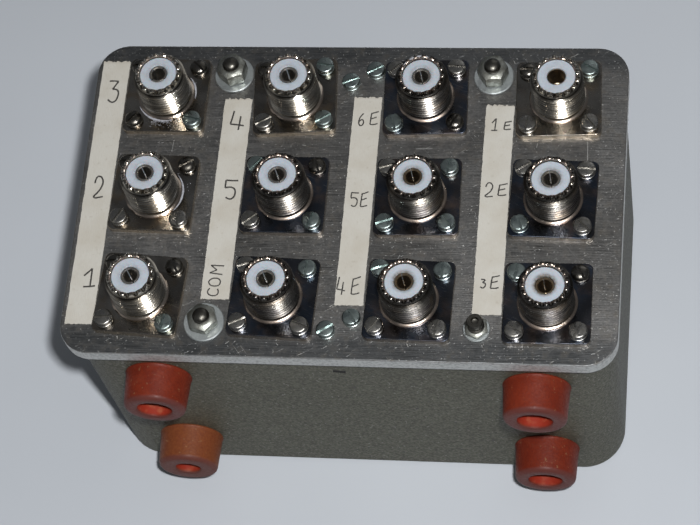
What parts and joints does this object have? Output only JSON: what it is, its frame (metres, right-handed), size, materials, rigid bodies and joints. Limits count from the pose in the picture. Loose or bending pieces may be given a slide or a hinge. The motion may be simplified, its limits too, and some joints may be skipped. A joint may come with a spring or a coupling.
{
  "type": "coaxial antenna switch",
  "caption": "Painted metal box with an aluminium plate of lettered coaxial sockets; a rotary switch inside joins the common socket to one other. Rubber feet on one side.",
  "frame": {"origin": "middle of the box's closed floor", "axes": "+Z out of the socket plate, +X along the long side with the numbered antenna sockets at -X, feet on the -Y wall, knob on the +Y wall"},
  "size_m": [0.164, 0.1285, 0.1048],
  "materials": {
    "box_paint": "fine textured olive grey paint",
    "plate_aluminium": "brushed and scratched bare aluminium",
    "socket_plating": "worn nickel plating",
    "insulator": "white PTFE",
    "fastener": "zinc plated steel",
    "rubber": "red-brown rubber",
    "paper": "aged white paper",
    "sheet_steel": "plated sheet steel",
    "brass": "turned brass",
    "wafer_board": "brown laminated board",
    "contact_silver": "silver plated spring metal",
    "copper": "tinned copper strap",
    "knob_black": "moulded black phenolic"
  },
  "bodies": {
    "case": {"box": "box_paint", "socket_plate": "plate_aluminium", "socket_shells": "socket_plating", "socket_inserts": "insulator", "cover_ledges": "fastener", "cover_nuts": "fastener", "feet": "rubber", "antenna_label_left": "paper", "antenna_label_right": "paper", "equipment_label_left": "paper", "equipment_label_right": "paper", "front_bracket": "sheet_steel", "rear_bracket": "sheet_steel", "index_plate": "brass", "bush_nut": "brass", "detent_leaf": "sheet_steel", "pillars": "brass", "wafer": "wafer_board", "way_clips": "contact_silver", "common_clip": "contact_silver", "socket_straps": "copper"},
    "selector": {"knob": "knob_black", "spindle": "sheet_steel", "star_wheel": "sheet_steel", "stop_sector": "sheet_steel", "rotor_hub": "wafer_board", "rotor_blade": "contact_silver"}
  },
  "joints": [
    {"name": "selector_turn", "type": "hinge", "parent": "case", "child": "selector", "pos_m": [0.0015, 0.051, 0.042], "axis": [0, -1, 0], "range_deg": [0, 300]}
  ]
}
